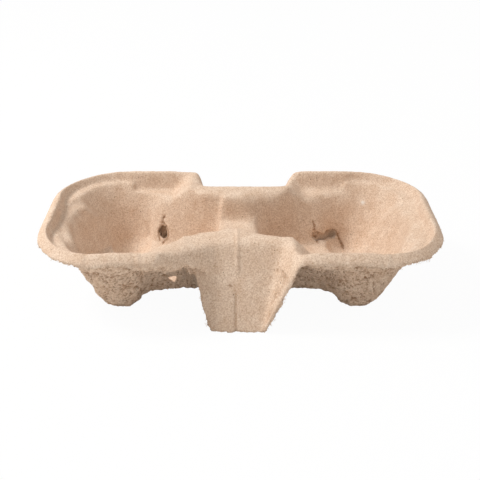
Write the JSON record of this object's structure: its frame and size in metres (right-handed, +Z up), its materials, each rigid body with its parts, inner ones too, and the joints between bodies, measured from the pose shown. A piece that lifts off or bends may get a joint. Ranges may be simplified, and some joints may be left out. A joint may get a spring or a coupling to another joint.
{
  "type": "two-cup carrier tray",
  "caption": "Pressed-pulp carrier tray with two drafted cup wells, a rounded rim with a turned-down flange, foot lobes and a slanting tongue on each long side.",
  "frame": {"origin": "middle of the tray on the plane that its feet and tongues stand on", "axes": "+X along the tray from well to well, +Y towards the back, +Z up"},
  "size_m": [0.212, 0.114, 0.0435],
  "materials": {
    "pulp": "matte moulded fibre"
  },
  "bodies": {
    "root": {"cup_carrier": "pulp"}
  },
  "joints": []
}
